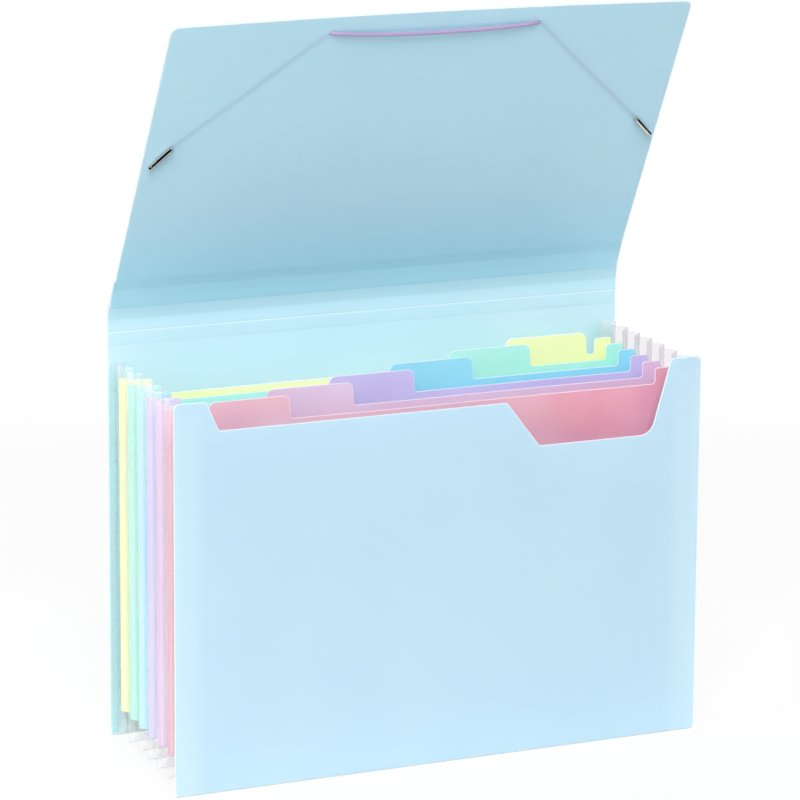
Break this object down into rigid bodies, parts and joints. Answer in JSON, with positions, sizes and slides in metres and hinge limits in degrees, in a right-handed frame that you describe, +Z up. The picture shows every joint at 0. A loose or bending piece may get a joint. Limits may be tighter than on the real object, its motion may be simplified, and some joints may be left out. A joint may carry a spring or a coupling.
{
  "type": "accordion file folder",
  "caption": "Standing expanding file with frosted covers, tabbed coloured dividers in a clear pleated gusset, and a scored flap with an elastic closure.",
  "frame": {"origin": "on the table, under the middle of the space between the outer faces of the two covers", "axes": "+Z up, front cover towards -Y, +X to the right as seen from the front"},
  "size_m": [0.33, 0.117, 0.4422],
  "materials": {
    "cover_blue": "frosted",
    "film_clear": "clear",
    "cord_lavender": "braided elastic",
    "barb_nickel": "nickel plated",
    "sheet_rose": "frosted",
    "sheet_orchid": "frosted",
    "sheet_purple": "frosted",
    "sheet_blue": "frosted",
    "sheet_mint": "frosted",
    "sheet_yellow": "frosted"
  },
  "bodies": {
    "back_cover": {"back_panel": "cover_blue"},
    "spine_lower": {"spine_strip_lower": "cover_blue"},
    "spine_middle": {"spine_strip_middle": "cover_blue"},
    "spine_upper": {"spine_strip_upper": "cover_blue"},
    "flap": {"flap": "cover_blue", "elastic_cord": "cord_lavender", "barb_left": "barb_nickel", "barb_right": "barb_nickel"},
    "front_cover": {"front_panel": "cover_blue", "gusset_pocket_1": "film_clear"},
    "rose": {"divider_rose": "sheet_rose", "flanges_rose": "sheet_rose", "gusset_pocket_2": "film_clear"},
    "orchid": {"divider_orchid": "sheet_orchid", "flanges_orchid": "sheet_orchid", "gusset_pocket_3": "film_clear"},
    "purple": {"divider_purple": "sheet_purple", "flanges_purple": "sheet_purple", "gusset_pocket_4": "film_clear"},
    "blue": {"divider_blue": "sheet_blue", "flanges_blue": "sheet_blue", "gusset_pocket_5": "film_clear"},
    "mint": {"divider_mint": "sheet_mint", "flanges_mint": "sheet_mint", "gusset_pocket_6": "film_clear"},
    "yellow": {"divider_yellow": "sheet_yellow", "flanges_yellow": "sheet_yellow", "gusset_pocket_7": "film_clear"}
  },
  "joints": [
    {"name": "pocket_7_slide", "type": "slide", "parent": "back_cover", "child": "yellow", "axis": [0, -1, 0], "range_m": [-0.0135, 0.005], "deforming": ["gusset_pocket_7", "flanges_yellow"]},
    {"name": "pocket_6_slide", "type": "slide", "parent": "yellow", "child": "mint", "axis": [0, -1, 0], "range_m": [-0.0135, 0.005], "deforming": ["gusset_pocket_6", "flanges_mint"]},
    {"name": "pocket_5_slide", "type": "slide", "parent": "mint", "child": "blue", "axis": [0, -1, 0], "range_m": [-0.0135, 0.005], "deforming": ["gusset_pocket_5", "flanges_blue"]},
    {"name": "pocket_4_slide", "type": "slide", "parent": "blue", "child": "purple", "axis": [0, -1, 0], "range_m": [-0.0135, 0.005], "deforming": ["gusset_pocket_4", "flanges_purple"]},
    {"name": "pocket_3_slide", "type": "slide", "parent": "purple", "child": "orchid", "axis": [0, -1, 0], "range_m": [-0.0135, 0.005], "deforming": ["gusset_pocket_3", "flanges_orchid"]},
    {"name": "pocket_2_slide", "type": "slide", "parent": "orchid", "child": "rose", "axis": [0, -1, 0], "range_m": [-0.0135, 0.005], "deforming": ["gusset_pocket_2", "flanges_rose"]},
    {"name": "pocket_1_slide", "type": "slide", "parent": "rose", "child": "front_cover", "axis": [0, -1, 0], "range_m": [-0.0135, 0.005], "deforming": ["gusset_pocket_1"]},
    {"name": "flap_score_1", "type": "hinge", "parent": "back_cover", "child": "spine_lower", "pos_m": [0, 0.0581, 0.238], "axis": [1, 0, 0], "range_deg": [-50, 17.5]},
    {"name": "flap_score_2", "type": "hinge", "parent": "spine_lower", "child": "spine_middle", "pos_m": [0, 0.05781, 0.24629], "axis": [1, 0, 0], "range_deg": [-50, 17.5]},
    {"name": "flap_score_3", "type": "hinge", "parent": "spine_middle", "child": "spine_upper", "pos_m": [0, 0.05632, 0.26052], "axis": [1, 0, 0], "range_deg": [-50, 17.5]},
    {"name": "flap_score_4", "type": "hinge", "parent": "spine_upper", "child": "flap", "pos_m": [0, 0.04705, 0.27869], "axis": [1, 0, 0], "range_deg": [-50, 17.5]}
  ]
}
